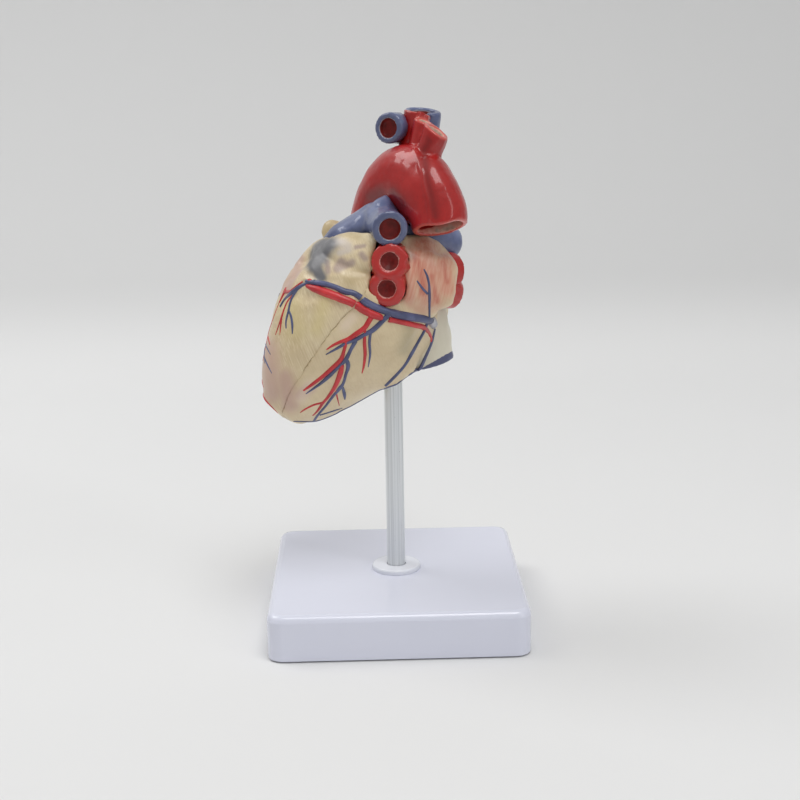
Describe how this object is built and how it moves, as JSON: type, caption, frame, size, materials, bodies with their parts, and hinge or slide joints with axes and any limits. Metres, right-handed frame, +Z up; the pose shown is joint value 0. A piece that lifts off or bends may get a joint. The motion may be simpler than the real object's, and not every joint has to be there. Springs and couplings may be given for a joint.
{
  "type": "human heart anatomy model",
  "caption": "Life-size human heart model with painted vessels, a front wall that pulls off to show the chambers, and a rod on a square base.",
  "frame": {"origin": "middle of the base's footprint, on the table under the rubber feet", "axes": "+Z up along the rod, -Y towards the viewer of the picture, +X to that viewer's right"},
  "size_m": [0.1312, 0.13, 0.2626],
  "materials": {
    "white_plastic": "gloss",
    "rubber": "matte",
    "rod_metal": "satin",
    "fixing_steel": "satin",
    "muscle_cream": "painted, lacquered",
    "atrium_pink": "painted, lacquered",
    "vessel_red": "painted, gloss",
    "vessel_blue": "painted, satin"
  },
  "bodies": {
    "base": {"base_shell": "white_plastic", "base_foot_1": "rubber", "base_foot_2": "rubber", "base_foot_3": "rubber", "base_foot_4": "rubber", "rod_collar": "white_plastic", "rod_washer": "fixing_steel"},
    "rod": {"support_rod": "rod_metal", "rod_screw": "fixing_steel"},
    "heart": {"rod_socket": "rod_metal", "rear_heart_wall": "muscle_cream", "locating_pin_1": "fixing_steel", "locating_pin_2": "fixing_steel", "locating_pin_3": "fixing_steel", "left_atrium": "atrium_pink", "right_atrium": "muscle_cream", "right_auricle": "muscle_cream", "aortic_arch": "vessel_red", "pulmonary_artery": "vessel_blue", "superior_vena_cava": "vessel_blue", "inferior_vena_cava": "muscle_cream", "left_pulmonary_veins": "vessel_red", "right_pulmonary_veins": "vessel_red", "mitral_valve": "atrium_pink", "tricuspid_valve": "atrium_pink", "aortic_valve": "atrium_pink", "pulmonary_valve": "atrium_pink"},
    "front_wall": {"front_heart_wall": "muscle_cream"}
  },
  "joints": [
    {"name": "rod_turn", "type": "hinge", "parent": "base", "child": "rod", "pos_m": [0, 0, 0.122], "axis": [0, 0, 1], "continuous": true},
    {"name": "heart_lift", "type": "slide", "parent": "rod", "child": "heart", "axis": [0, 0, 1], "range_m": [0, 0.045]},
    {"name": "front_wall_pull", "type": "slide", "parent": "heart", "child": "front_wall", "axis": [-0.7071, 0.7071, 0], "range_m": [0, 0.06]}
  ]
}
